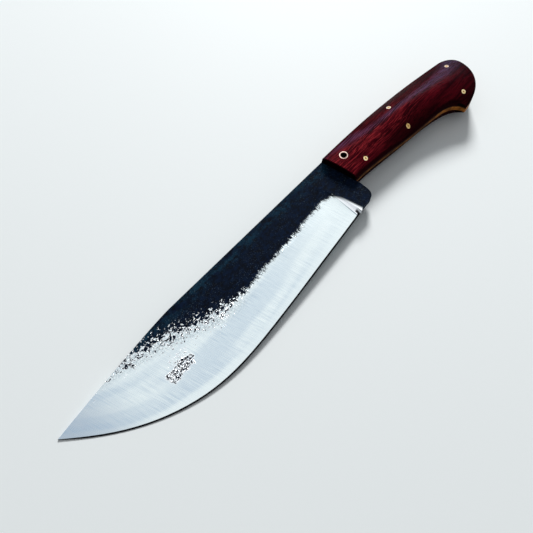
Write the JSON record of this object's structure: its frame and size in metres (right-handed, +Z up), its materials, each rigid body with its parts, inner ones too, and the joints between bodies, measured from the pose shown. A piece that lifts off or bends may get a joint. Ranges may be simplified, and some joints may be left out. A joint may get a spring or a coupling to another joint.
{
  "type": "butcher's cleaver knife",
  "caption": "Forged full-tang butcher's cleaver knife with a pointed, deep-bellied blade, wooden scales, pins and a lanyard tube.",
  "frame": {"origin": "on the bench under the middle of the knife's box, as it lies on its right side", "axes": "+X towards the tip along the spine, +Y from the spine to the cutting edge, +Z up from the bench"},
  "size_m": [0.3936, 0.0592, 0.0256],
  "materials": {
    "blade_steel": "ground bevel under dark forge scale",
    "scale_wood": "oiled dark red hardwood",
    "tube_metal": "sanded flush",
    "pin_metal": "sanded flush"
  },
  "bodies": {
    "root": {"blade": "blade_steel", "scale_left": "scale_wood", "scale_right": "scale_wood", "lanyard_tube": "tube_metal", "pin_front": "pin_metal", "pin_palm_upper": "pin_metal", "pin_palm_lower": "pin_metal", "pin_butt_upper": "pin_metal", "pin_butt_lower": "pin_metal"}
  },
  "joints": []
}
